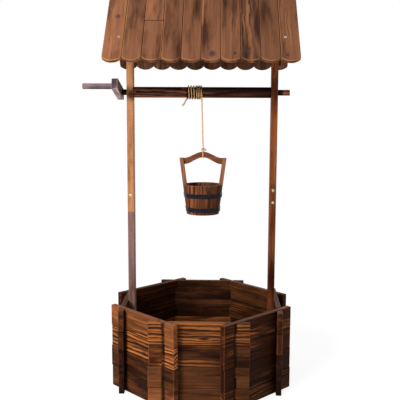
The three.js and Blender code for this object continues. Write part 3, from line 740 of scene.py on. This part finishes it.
def posts():
    """Each section, darker beside the axle and in the tub, and painted lighter above the roller, where the
    roof shades it.
    """
    for name, slot, look, dark_at, dark, top in (
        ("left_post_upper", "post_light_wood", (0.98, 0.1, 0.3), axle.z - 0.008, -1.2, 0.0),
        ("left_post_lower", "post_dark_wood", (1.0, 0.2, 0.4), 0.30, -0.8, 0.0),
        ("right_post_upper", "post_red_wood", (1.0, 0.1, 0.4), axle.z, -0.5, 0.6),
        ("right_post_lower", "post_red_wood", (0.78, 0.3, 0.4), 0.35, -0.8, 0.0),
    ):
        middle = middle_of(name, 2)
        ends = (0.0, top, axle.z + 0.042 - middle)
        board(name, slot, Z, X, look, zone=(dark_at - middle, 0.002, dark), ends=ends)


# ---- roof


def slope_places(side):
    """Axes of one slope: along the ridge, up the slope and out of the roof."""
    ridgewise = X * side
    up = Vector((0, side * cos(ROOF_PITCH), sin(ROOF_PITCH)))
    return ridgewise, up, ridgewise.cross(up)


def slat(name, look, side, x, width, lift, node, start=0.0, stop=None, **marks):
    """A roof slat from the mitre at the ridge, or from a butt joint, to its round end, its edges eased."""
    ridgewise, up, out = slope_places(side)
    section = rounded_rectangle(width / 2, SLAT_THICKNESS / 2, 0.0013, side_steps=10)
    ease = SLAT_EASE if stop is None else BUTT_EASE
    # Each ring: its share of the way down, how far it is drawn in, and how far it is moved on.
    steps = [(0.0, BUTT_EASE, 0.0), (0.0, BUTT_EASE / 2, BUTT_EASE / 2)] if start else [(0.0, 0.0, 0.0)]
    steps += [(k / 10, 0.0, 0.0) for k in range(1, 10)]
    for degrees in (0, 30, 60, 85):
        turn = radians(degrees)
        steps.append((1.0, ease * (1 - cos(turn)), ease * sin(turn)))
    rings, ends = [], []
    for share, inset, shift in steps:
        ring = []
        for a, b in section:
            b = copysign(min(abs(b), SLAT_THICKNESS / 2 - inset), b)
            a *= 1 - inset / (width / 2)
            end = stop or SLAT_LENGTH - SCALLOP_RADIUS + sqrt(SCALLOP_RADIUS**2 - a * a)
            ends.append(end + start)
            z = b - SLAT_THICKNESS / 2
            first = start or -z * tan(ROOF_PITCH) + SEAT
            down = first + (end - ease - first) * share + shift
            bow = lift * (down / SLAT_LENGTH) ** 2
            ring.append(Vector((0, 0, ridge)) + ridgewise * (x + a) - up * down + out * (z + bow))
        rings.append(ring)
    made = carved(name, rings, "roof_wood", "frame", node, up, ridgewise, look, **marks)

    # Distances count from the round end, the slat is darker near the ridge, and a butt joint gets painted
    # shade.
    farthest = (stop or SLAT_LENGTH) + start
    told = made.data.attributes
    for number, (end, place) in enumerate(zip(ends, told["board_place"].data)):
        if place.vector.x < 0:
            told["board_half"].data[number].vector.x -= farthest - end
        told["board_look"].data[number].vector.x *= 1.06 - 0.5 * place.vector.x
    for number in range(len(section) if start else 0):
        told["board_wear"].data[number].vector.x = -1.0
    return made


def light_edge(piece, length, width):
    """A pale strip of wear and painted highlight along a slat's left edge, from the ridge down."""
    told = piece.data.attributes
    for number, place in enumerate(told["board_place"].data):
        if place.vector.x > SLAT_LENGTH / 2 - length and place.vector.y < -0.010:
            told["board_half"].data[number].vector.y -= width
            told["board_wear"].data[number].vector.y = 0.75
            told["board_seam"].data[number].vector.x = 0.0


# Front slats: tone, scorching, strength of the rings; wear of the end, the left and the right edge, where the
# lighter left edges are wear and painted highlight; a place that is clearer or sootier; perhaps a knot and
# its size.
# Places count from the middle, up and across.
FRONT_SLATS = (
    ((1.3, 0.05, 0.4), (0.6, 0.5, 0.3), (0.0875, -0.022, -0.8), (0.0315, 0.006, 0.0075)),
    ((0.98, 0.25, 0.2), (0.55, 0.85, 0.1), (0.0025, -0.008, -0.5)),
    ((1.08, 0.15, 0.2), (0.6, 0.2, 0.85), (-0.045, 0.022, -0.8)),
    ((0.97, 0.25, 0.25), (0.55, 0.9, 0.2), (-0.0925, 0.016, -0.8)),
    ((0.92, 0.25, 0.15), (0.5, 0.3, 0.2), (0.0775, 0.016, -0.7)),
    ((0.95, 0.2, 0.35), (0.6, 0.6, 0.15), (-0.0275, -0.026, -0.9), (-0.1335, 0.004, 0.0088)),
    ((0.94, 0.25, 0.35), (0.6, 0.9, 0.2), (0.0925, -0.020, -0.7), (-0.1315, 0.012, 0.0050)),
    ((0.78, 0.4, 0.65), (0.7, 0.3, 0.3), (-0.0275, 0.022, -1.0), (-0.1215, -0.012, 0.0085)),
    ((0.80, 0.2, 0.15), (0.65, 0.2, 0.2), (0.0425, -0.022, -0.6)),
    ((0.90, 0.15, 0.35), (0.8, 0.85, 0.5), (-0.0375, 0.004, 0.5), (-0.1385, -0.011, 0.0042)),
)
# The upper piece's minus wear of the end paints shade in the butt joint.
UPPER_SLAT_3 = ((1.12, 0.1, 0.25), (-1.0, 0.7, 0.2), (0.015, 0.020, -0.5))


def roof():
    pitch = 2 * roof_half / SLATS
    width = pitch - SLAT_GAP
    for word, side in SLOPES:
        node = f"{word}_roof_slope"
        for k in range(1, SLATS + 1):
            x = (k - (SLATS + 1) / 2) * pitch
            *look, lift = draws((0.55, 0.8), (0.2, 0.7), (0.1, 0.5), (-0.0002, 0.0012))
            laid = partial(slat, side=side, x=x, width=width, lift=lift, node=node)
            marks = {"wear": (0.4, 0.3, 0.3), "seam": (float(k > 1), float(k < SLATS), 0.0)}
            if side < 0:
                look[0] = 1.3 if k == 1 else look[0] * 0.9
                laid(f"{word}_slat_{k}", look, **marks)
                continue
            look, *told = FRONT_SLATS[k - 1]
            marks |= dict(zip(("wear", "zone", "knot"), told))
            if k == 3:
                upper_look, *told = UPPER_SLAT_3
                upper = marks | dict(zip(("wear", "zone"), told))
                laid("front_slat_3_upper", upper_look, stop=BUTT_JOINT, **upper)
                laid("front_slat_3_lower", look, start=BUTT_JOINT + SEAT, **marks)
                continue
            made = laid(f"{word}_slat_{k}", look, **marks)
            if k == 6:
                light_edge(made, length=0.165, width=0.0035)
        _, up, out = slope_places(side)
        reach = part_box("rafter_front_right")[0].x - SEAT
        section = rounded_rectangle(BATTEN_WIDTH / 2, BATTEN_THICKNESS / 2, 0.0012)
        for number, down in enumerate(BATTENS_AT, 1):
            middle = Vector((0, 0, ridge)) - up * down - out * (SLAT_THICKNESS + BATTEN_THICKNESS / 2)
            rings = [[middle + X * x + up * a + out * b for a, b in section] for x in (-reach, reach)]
            carved(
                f"{word}_batten_{number}", rings, "post_red_wood", "frame", node, X, up, (0.8, 0.5, 0.4),
                pith=any_pith(number),
            )
    for word, side in SLOPES:
        for hand in ("left", "right"):
            board(f"rafter_{word}_{hand}", "post_red_wood", slope_places(side)[1], X, (0.8, 0.5, 0.4))


# ---- windlass and rope


def windlass():
    roller = board(
        "windlass_roller", "roller_wood", X, Z, (1.0, 0.3, 0.45), edge=0.0009, pith=(1.3, 0.012, 0.006),
        body="windlass", sharp=30, zone=(-0.16, -0.004, 2.2), wear=(0.3, 0.0, 0.0), seam=(0.6, 0.9, 0.0),
        ends=(-0.8, 9.5, JOURNAL_FROM), cuts=TONE_CUTS,
    )
    middle = middle_of("windlass_roller", 0)

    def roller_tone(x, y, z):
        """Darker to the right, with painted shade under the rope, left of the post, and on its upper chamfers
        under the roof.
        """
        roof_shaded_chamfer = y > CHAMFER_FROM and abs(z) > CHAMFER_FROM and abs(x) < JOURNAL_FROM
        at = x + middle
        contact_shade = 0.3 if UNDER_ROPE[0] < at < UNDER_ROPE[1] else 0.15 if at < POST_FACE else 1.0
        return (1.62 - 4.2 * x) * (0.3 if roof_shaded_chamfer else 1.0) * contact_shade

    def arm_tone(x, y, z):
        """The underside is painted lighter, as light thrown up from the floor, and the outer face darker."""
        return (2.3 if z < -0.017 else 1.0) * (0.5 if y < -0.008 else 1.0)

    toned(roller, roller_tone)
    arm = Vector((0, middle_of("crank_arm", 1), middle_of("crank_arm", 2) - axle.z))
    # The arm's high tone paints light on faces that stand in shade.
    crank = board(
        "crank_arm", "crank_wood", arm, X, (2.7, 0.46, 0.5), edge=0.0014, body="windlass",
        zone=(0.03, 0.006, -0.4), wear=(0.5, 0.5, 0.5), seam=(0.0, 0.8, 0.0), ends=(-0.3, -0.3, 0.071),
    )
    toned(crank, arm_tone)
    # The grip's zone paints shade on its lower half.
    board(
        "crank_grip", "crank_wood", X, Z, (1.16, 0.0, 0.2), edge=0.0014, body="windlass", sharp=30,
        zone=(0.0, -0.014, -1.2), wear=(0.4, 0.0, 0.5), seam=(0.9, 0.0, 0.0), ends=(0.1, -0.2, 0.012),
    )


def line_length(path):
    return sum((b - a).length for a, b in zip(path, path[1:]))


def evenly(points):
    """The same line with a point at every step."""
    made = [points[0]]
    left = ROPE_STEP
    for a, b in zip(points, points[1:]):
        length = (b - a).length
        while length >= left > 0:
            a = a + (b - a).normalized() * left
            length -= left
            left = ROPE_STEP
            made.append(a)
        left -= length
    if (made[-1] - points[-1]).length > ROPE_STEP / 3:
        made.append(points[-1])
    return made


def softened(points):
    """The line with its corners rounded off and its ends kept."""
    for _ in range(3):
        inner = [(a + 2 * b + c) / 4 for a, b, c in zip(points, points[1:], points[2:])]
        points = [points[0], *inner, points[-1]]
    return points


def fibre(name, tubes, marks, body, node=None):
    mesh = mesh_of(name, tubes)
    write(mesh, "strand_place", marks)
    return shown(name, mesh, "rope", body, node, 60)


def twisted(name, path, diameter, body, node, swell=None, splay=0.0, pale=0.0, groove=0.0, dim=None):
    """Three strands laid round a line.

    swell(distance) thickens it, splay opens its last end, pale lightens it, groove paints shade on
    the sides that it turns to the next turn of a winding, and dim(point) paints shade on it in places.
    """
    strand = diameter * 0.27
    offset = diameter / 2 - strand
    sides = 8
    across, frames = None, []
    for i, here in enumerate(path):
        run = (path[min(i + 1, len(path) - 1)] - path[max(i - 1, 0)]).normalized()
        across = run.orthogonal() if across is None else across - run * across.dot(run)
        across = across.normalized()
        frames.append((here, across.copy(), run.cross(across)))
    total = line_length(path)
    tubes, marks = [], []
    for number in range(3):
        done, rings = 0.0, []
        for i, (here, side, up) in enumerate(frames):
            if i:
                done += (here - path[i - 1]).length
            turn = FULL_TURN * (done / ROPE_LAY + number / 3)
            grown = swell(done) if swell else 1.0
            opened = 1 + splay * max(0.0, 1 - (total - done) / SPLAY_REACH) ** 2
            middle = here + spoke(side, up, turn) * offset * grown * opened
            rings.append([])
            for k in range(sides):
                angle = turn + FULL_TURN * k / sides
                point = middle + spoke(side, up, angle) * strand * grown
                sideways = (point - here).normalized().x ** 2
                crown = cos(angle - turn) + pale - groove * sideways - (dim(point) if dim else 0.0)
                marks.append((done + number, strand * FULL_TURN * k / sides, crown))
                rings[-1].append(point)
        tubes.append(rings)
    return fibre(name, tubes, marks, body, node)


def fray(name, end, run, body):
    """Loose fibres that stand out of a cut end."""
    pieces = random.Random(11)
    side = run.orthogonal().normalized()
    up = run.cross(side)
    tubes, marks = [], []
    for k in range(FRAY_FIBRES):
        outward = spoke(side, up, FULL_TURN * k / FRAY_FIBRES + pieces.uniform(-0.3, 0.3))
        lean = pieces.uniform(0.15, 0.8)
        length = pieces.uniform(0.004, 0.0085)
        root = end + outward * pieces.uniform(0.0004, 0.0016) - run * 0.002
        thick = pieces.uniform(0.0003, 0.0005)
        rings = []
        for i in range(FRAY_STEPS):
            share = i / (FRAY_STEPS - 1)
            spot = root + run * length * share + outward * lean * length * share * share
            radius = thick * (1 - 0.75 * share)
            rings.append([spot + spoke(side, up, pi / 2 * n) * radius for n in range(4)])
            marks += [(k + share * length, 0.001 * n, 0.8) for n in range(4)]
        tubes.append(rings)
    return fibre(name, tubes, marks, body)


def corner(at, from_turn, to_turn, reach=ROPE_REACH):
    """Points of the rope's middle round one corner, as distance to the front and height."""
    turns = [from_turn + (to_turn - from_turn) * k / BEND_STEPS for k in range(BEND_STEPS + 1)]
    return [(at[0] + reach * cos(t), at[1] + reach * sin(t)) for t in turns]


def winding_path():
    """The wound rope's middle, round the eight corners of the roller and on to its tail."""
    half = (roller_high.z - roller_low.z) / 2
    flat = half - ROLLER_CHAMFER
    corners = []
    for x, y in ((1, 0), (0, 1), (-1, 0), (0, -1)):
        corners += [(a * x - b * y, a * y + b * x) for a, b in ((half, flat), (flat, half))]
    turn = FULL_TURN / len(corners)
    line = []
    for k in range(round(ROPE_TURNS * len(corners))):
        line += corner(corners[k % len(corners)], k * turn, (k + 1) * turn)
    once = line_length([Vector((0, *p)) for p in line[: (BEND_STEPS + 1) * len(corners) + 1]])
    path = [Vector((EXIT_X, -half - ROPE_REACH, fall_high.z - axle.z))]
    wound, last = 0.0, line[0]
    for front, height in line:
        wound += hypot(front - last[0], height - last[1])
        last = (front, height)
        turns = wound / once
        tight = min(turns, TIGHT_TURNS)
        moved = tight * TIGHT_PITCH + (turns - tight) * LOOSE_PITCH
        path.append(Vector((EXIT_X - EXIT_SPREAD - moved, -front, height)))
    path += [Vector(p) for p in TAIL_ROUTE]
    return [p + axle for p in softened(evenly(path))]


def rope():
    """The winding with its frayed tail, the fall down to the bucket, the knot and the loop."""
    path = winding_path()
    loose_from = EXIT_X - EXIT_SPREAD - TIGHT_TURNS * TIGHT_PITCH - ROPE / 2

    def shaded_on_top(point):
        """Painted shade: the tight turns are darker on top."""
        return 1.3 * min(1.0, max(0.0, (point.z - axle.z + 0.004) / 0.018)) if point.x > loose_from else 0.0

    wound = twisted(
        "rope_winding_cord", path, ROPE, "windlass", "rope_winding", splay=0.9, pale=1.05, groove=4.3,
        dim=shaded_on_top,
    )
    tuft = fray("rope_fray", path[-1], (path[-1] - path[-4]).normalized(), "windlass")

    def slub(distance):
        """Two thicker places: how far down, how long and how much."""
        spots = ((0.012, 0.007, 0.16), (0.088, 0.004, 0.14))
        return 1 + sum(much * exp(-(((distance - at) / wide) ** 2)) for at, wide, much in spots)

    top = Vector((EXIT_X, bucket_y, fall_high.z))
    end = Vector((bucket_x, bucket_y, fall_low.z))
    straight = evenly([top, end])
    fall = twisted("rope_fall_cord", straight, ROPE, None, "rope_fall", swell=slub, pale=0.7)
    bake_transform(fall, "rope", "bucket", start=top, end=end)

    knot = Vector((bucket_x, bucket_y, fall_low.z - SEAT - KNOT_DROP))
    wrap = []
    for k in range(WRAP_POINTS + 1):
        share = k / WRAP_POINTS
        around = spoke(X, Y, FULL_TURN * (WRAP_TURNS * share - 0.25)) * (0.0033 + 0.0016 * share)
        wrap.append(knot + around + Z * WRAP_HEIGHT * (0.5 - share))
    wrap = softened(evenly(wrap + [knot + Vector(p) for p in WRAP_END]))
    standing = evenly([knot + Z * KNOT_DROP, knot - Z * 0.006])
    tied = twisted("rope_knot_cord", wrap, KNOT_ROPE, "bucket", "rope_knot", pale=0.7)
    core = twisted("rope_knot_core", standing, ROPE, "bucket", "rope_knot", pale=0.7)

    thick = (handle_high.y - handle_low.y) / 2
    top_z, low_z = handle_high.z, handle_high.z - HANDLE_HEIGHT
    reach = LOOP / 2 + SEAT
    front = corner((thick, top_z), pi / 4, 0, reach) + corner((thick, low_z), 0, -pi / 2, reach)
    back = [(-a, b) for a, b in reversed(front)]
    loop = [Vector((bucket_x, bucket_y - a, b)) for a, b in front + back]
    loop = softened(evenly([knot - Z * 0.004, *loop, knot - Z * 0.004]))
    twisted("rope_loop_cord", loop, LOOP, "bucket", "rope_knot", pale=0.9)


# ---- bucket


def bucket_radius(z):
    return base_radius + z * FLARE


def at_bucket(turn, out, z):
    """A place round the bucket's axis, with its height from the base."""
    return Vector((bucket_x + out * cos(turn), bucket_y + out * sin(turn), bucket_base + z))


def stave(name, middle_turn, width_turn, height, look, node):
    """One stave: a slice of the bucket's wall with eased edges."""
    low_end = ((0.0, 1.0), (0.0, 0.4), (STAVE_EASE * 0.3, 0.12), (STAVE_EASE, 0.0))
    rings = []
    for z, inset in (*low_end, *((height - z, inset) for z, inset in reversed(low_end))):
        radius = bucket_radius(z)
        drawn_in = STAVE_EASE * inset
        half, thick = width_turn / 2 * radius - drawn_in, STAVE_THICKNESS / 2 - drawn_in
        rings.append([
            at_bucket(middle_turn + a / radius, radius - STAVE_THICKNESS / 2 + b, z)
            for a, b in rounded_rectangle(half, thick, 0.0008, side_steps=5)
        ])
    carved(
        name, rings, "stave_wood", "bucket", node, Z, Z.cross(spoke(X, Y, middle_turn)), look,
        pith=any_pith(len(bpy.data.objects) + 1, 0.07), seam=(0.9, 0.9, 0.0), wear=(0.4, 0.0, 0.0),
    )


def hoop(name, node):
    """A strip of steel bent round the staves, its ends lapped and riveted at the right."""
    low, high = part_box(node)
    middle, half = (low.z + high.z) / 2 - bucket_base, (high.z - low.z) / 2
    rings, marks = [], []
    count = 120
    for k in range(count + 1):
        share = k / count
        turn = LAP_FROM + (FULL_TURN + LAP_TURN) * share
        raised = HOOP_THICKNESS * 1.05 if turn > LAP_FROM + FULL_TURN - radians(3) else 0.0
        ring = []
        for a, b in rounded_rectangle(half, HOOP_THICKNESS / 2, 0.0005, side_steps=4):
            z = middle + a
            ring.append(at_bucket(turn, bucket_radius(z) + SEAT + HOOP_THICKNESS / 2 + b + raised, z))
            marks.append((abs(a) / half, share, 0.0))
        rings.append(ring)
    mesh = skin(name, rings)
    write(mesh, "strip_place", marks)
    shown(name, mesh, "hoop_metal", "bucket", node)
    for number, share in enumerate((0.3, 0.7), 1):
        turn = LAP_FROM + LAP_TURN * share
        place = at_bucket(turn, bucket_radius(middle) + SEAT + HOOP_THICKNESS * 2.05, middle)
        rivet(f"{name}_rivet_{number}", place, spoke(X, Y, turn))


def rivet(name, place, outward):
    """A low round rivet head."""
    side = outward.orthogonal().normalized()
    up = outward.cross(side)
    radius, height, around = 0.0022, 0.0011, 20
    rings = []
    for rise in (-20, 0, 25, 50, 72, 86):
        across, out = radius * cos(radians(rise)), height * sin(radians(rise))
        spokes = [spoke(side, up, FULL_TURN * k / around) for k in range(around)]
        rings.append([place + outward * out + s * across for s in spokes])
    mesh = skin(name, rings)
    write(mesh, "strip_place", [(0.5, 0.0, 0.0)] * len(mesh.vertices))
    shown(name, mesh, "hoop_metal", "bucket", sharp=50)


def handle():
    """The arched board between the ears, its edges eased."""
    half = (handle_high.x - handle_low.x) / 2
    thick = (handle_high.y - handle_low.y) / 2
    top_end = ear_high.z - HANDLE_SETDOWN
    rise = handle_high.z - top_end
    rings = []
    count = 48
    for k in range(count + 1):
        share = 2 * k / count - 1
        lift = rise * (1 + cos(pi * share)) / 2
        ring = []
        for a, b in rounded_rectangle(HANDLE_HEIGHT / 2, thick, 0.0022, side_steps=3):
            below = HANDLE_HEIGHT / 2 - a
            thicker = HANDLE_SETDOWN * 0.8 * (1 - lift / rise) * (1 - below / HANDLE_HEIGHT)
            x = bucket_x + share * (half - FLARE * below)
            ring.append(Vector((x, bucket_y + b, top_end - below + lift + thicker)))
        rings.append(ring)
    carved(
        "bucket_handle_wood", rings, "stave_wood", "bucket", "bucket_handle", X, Z, (1.12, 0.0, 0.1),
        pith=(2.7, 0.05, 0.02), wear=(0.3, 0.3, 0.5),
    )


def bucket():
    ear_turn = 2 * asin((ear_high.y - ear_low.y) / 2 / base_radius) + SEAT / base_radius
    per_side = STAVES // 2
    room = (pi - ear_turn) / per_side
    width_turn = room - STAVE_GAP / base_radius
    for word, start in (("rear", 0.0), ("front", pi)):
        for k in range(per_side):
            turn = start + ear_turn / 2 + room * (k + 0.5)
            # Painted shade: the front staves grow darker to the right.
            shaded = 0.64 * k / (per_side - 1) - 0.10 if word == "front" else 0.2
            look = draws((0.95 - shaded, 1.08 - shaded), (0.0, 0.5), (0.2, 0.6))
            name, node = f"{word}_stave_{k + 1}", f"bucket_staves_{word}"
            stave(name, turn, width_turn, base_high.z - bucket_base, look, node)
    for hand in ("left", "right"):
        board(
            f"bucket_ear_{hand}", "stave_wood", Z, Y, (1.25, 0.0, 0.1), edge=0.0012, body="bucket",
            wear=(0.5, 0.5, 0.5),
        )
    board("bucket_bottom", "stave_wood", X, Y, (0.9, 0.4, 0.6), edge=0.0006, body="bucket")
    handle()
    hoop("lower_hoop", "bucket_hoop_lower")
    hoop("upper_hoop", "bucket_hoop_upper")


# ---- screws


def screw(name, place, outward, turn):
    """A countersunk head with a cross recess, sunk level with the wood."""
    side = Matrix.Rotation(turn, 3, outward) @ outward.orthogonal().normalized()
    up = outward.cross(side)
    around = 40
    spokes = [FULL_TURN * k / around for k in range(around)]
    points = [place - outward * CROSS_DEPTH]
    for share in (0.1, 0.25, 0.4, 0.5, 0.6, 0.72, 0.86, 0.95, 1.0):
        for angle in spokes:
            a, b = share * SCREW_RADIUS * cos(angle), share * SCREW_RADIUS * sin(angle)
            near, far = sorted((abs(a), abs(b)))
            cross = near < CROSS_HALF_WIDTH and far < 0.58 * SCREW_RADIUS
            out = -CROSS_DEPTH if cross else 0.0005 * (1 - share * share) + 0.0002
            points.append(place + side * a + up * b + outward * out)
    points += [place + spoke(side, up, angle) * SCREW_RADIUS * 0.98 - outward * 0.001 for angle in spokes]
    starts = range(1, len(points), around)
    faces = [(0, 1 + k, 1 + (k + 1) % around) for k in range(around)]
    for a, b in zip(starts, starts[1:]):
        faces += [(a + k, b + k, b + (k + 1) % around, a + (k + 1) % around) for k in range(around)]
    faces.append(tuple(reversed(range(starts[-1], starts[-1] + around))))
    mesh = bpy.data.meshes.new(name)
    mesh.from_pydata([tuple(p) for p in points], [], faces)
    shown(name, mesh, "screw_metal", "frame", sharp=40)


def screws():
    post_x, post_front = middle_of("right_post_upper", 0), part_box("left_post_upper")[0].y
    for name, hand, face, height, turn in LAP_SCREWS:
        screw(f"lap_screw_{name}", Vector((hand * post_x, face * post_front, height)), Y * -face, turn)
    rafter_x = middle_of("rafter_front_right", 0)
    down = (ridge - ROOF_SCREW_HEIGHT) / sin(ROOF_PITCH)
    for word, side in SLOPES:
        _, up, out = slope_places(side)
        for hand, x in (("left", 0.006 - rafter_x), ("right", rafter_x - 0.003)):
            place = Vector((x, 0, ridge)) - up * down + out * 0.0004
            screw(f"roof_screw_{word}_{hand}", place, out, turn=x * 9)


# ---- the scene


def studio():
    """A white room: the floor keeps a soft shadow round the object and is white further out."""
    white = (1, 1, 1, 1)
    world = bpy.data.worlds.new("studio")
    bpy.context.scene.world = world
    s = Shader(world)
    s.tree.nodes.clear()
    strength = s.out("MapRange", {"Value": s.seen(), "To Min": 0.22, "To Max": 1.0})
    s.node("OutputWorld", {0: s.out("Background", {"Color": white, "Strength": strength})})

    reach = 14
    mesh = bpy.data.meshes.new("floor")
    corners = [(-reach, -reach, 0), (reach, -reach, 0), (reach, reach, 0), (-reach, reach, 0)]
    mesh.from_pydata(corners, [], [(0, 1, 2, 3)])
    floor = placed("floor", mesh)
    s = material("floor")
    seen = s.seen()
    away = s.band(s.vector("LENGTH", s.spot()), 0.7, 1.6, 0.84, 1.0)
    glow = s.out("Emission", {"Color": white, "Strength": 1.0})
    pale = s.mix(seen, (0.85, 0.85, 0.85, 1), (1.75, 1.75, 1.75, 1))
    matt = s.out("BsdfDiffuse", {"Color": pale})
    both = s.out("MixShader", {0: s.times(seen, away), 1: matt, 2: glow})
    s.put(s.tree.nodes["Material Output"].inputs["Surface"], both)
    mesh.materials.append(MATERIALS["floor"])

    bpy.context.scene.view_settings.view_transform = "Standard"
    lamp("key", (-1.9, -3.0, 2.0), 1.6, 150)
    lamp("fill", (2.4, -2.6, 1.0), 1.8, 12)


camera()
studio()
rope()
tub()
posts()
roof()
windlass()
bucket()
screws()
lamp("back", (1.7, 3.0, 2.2), 2.0, 60)
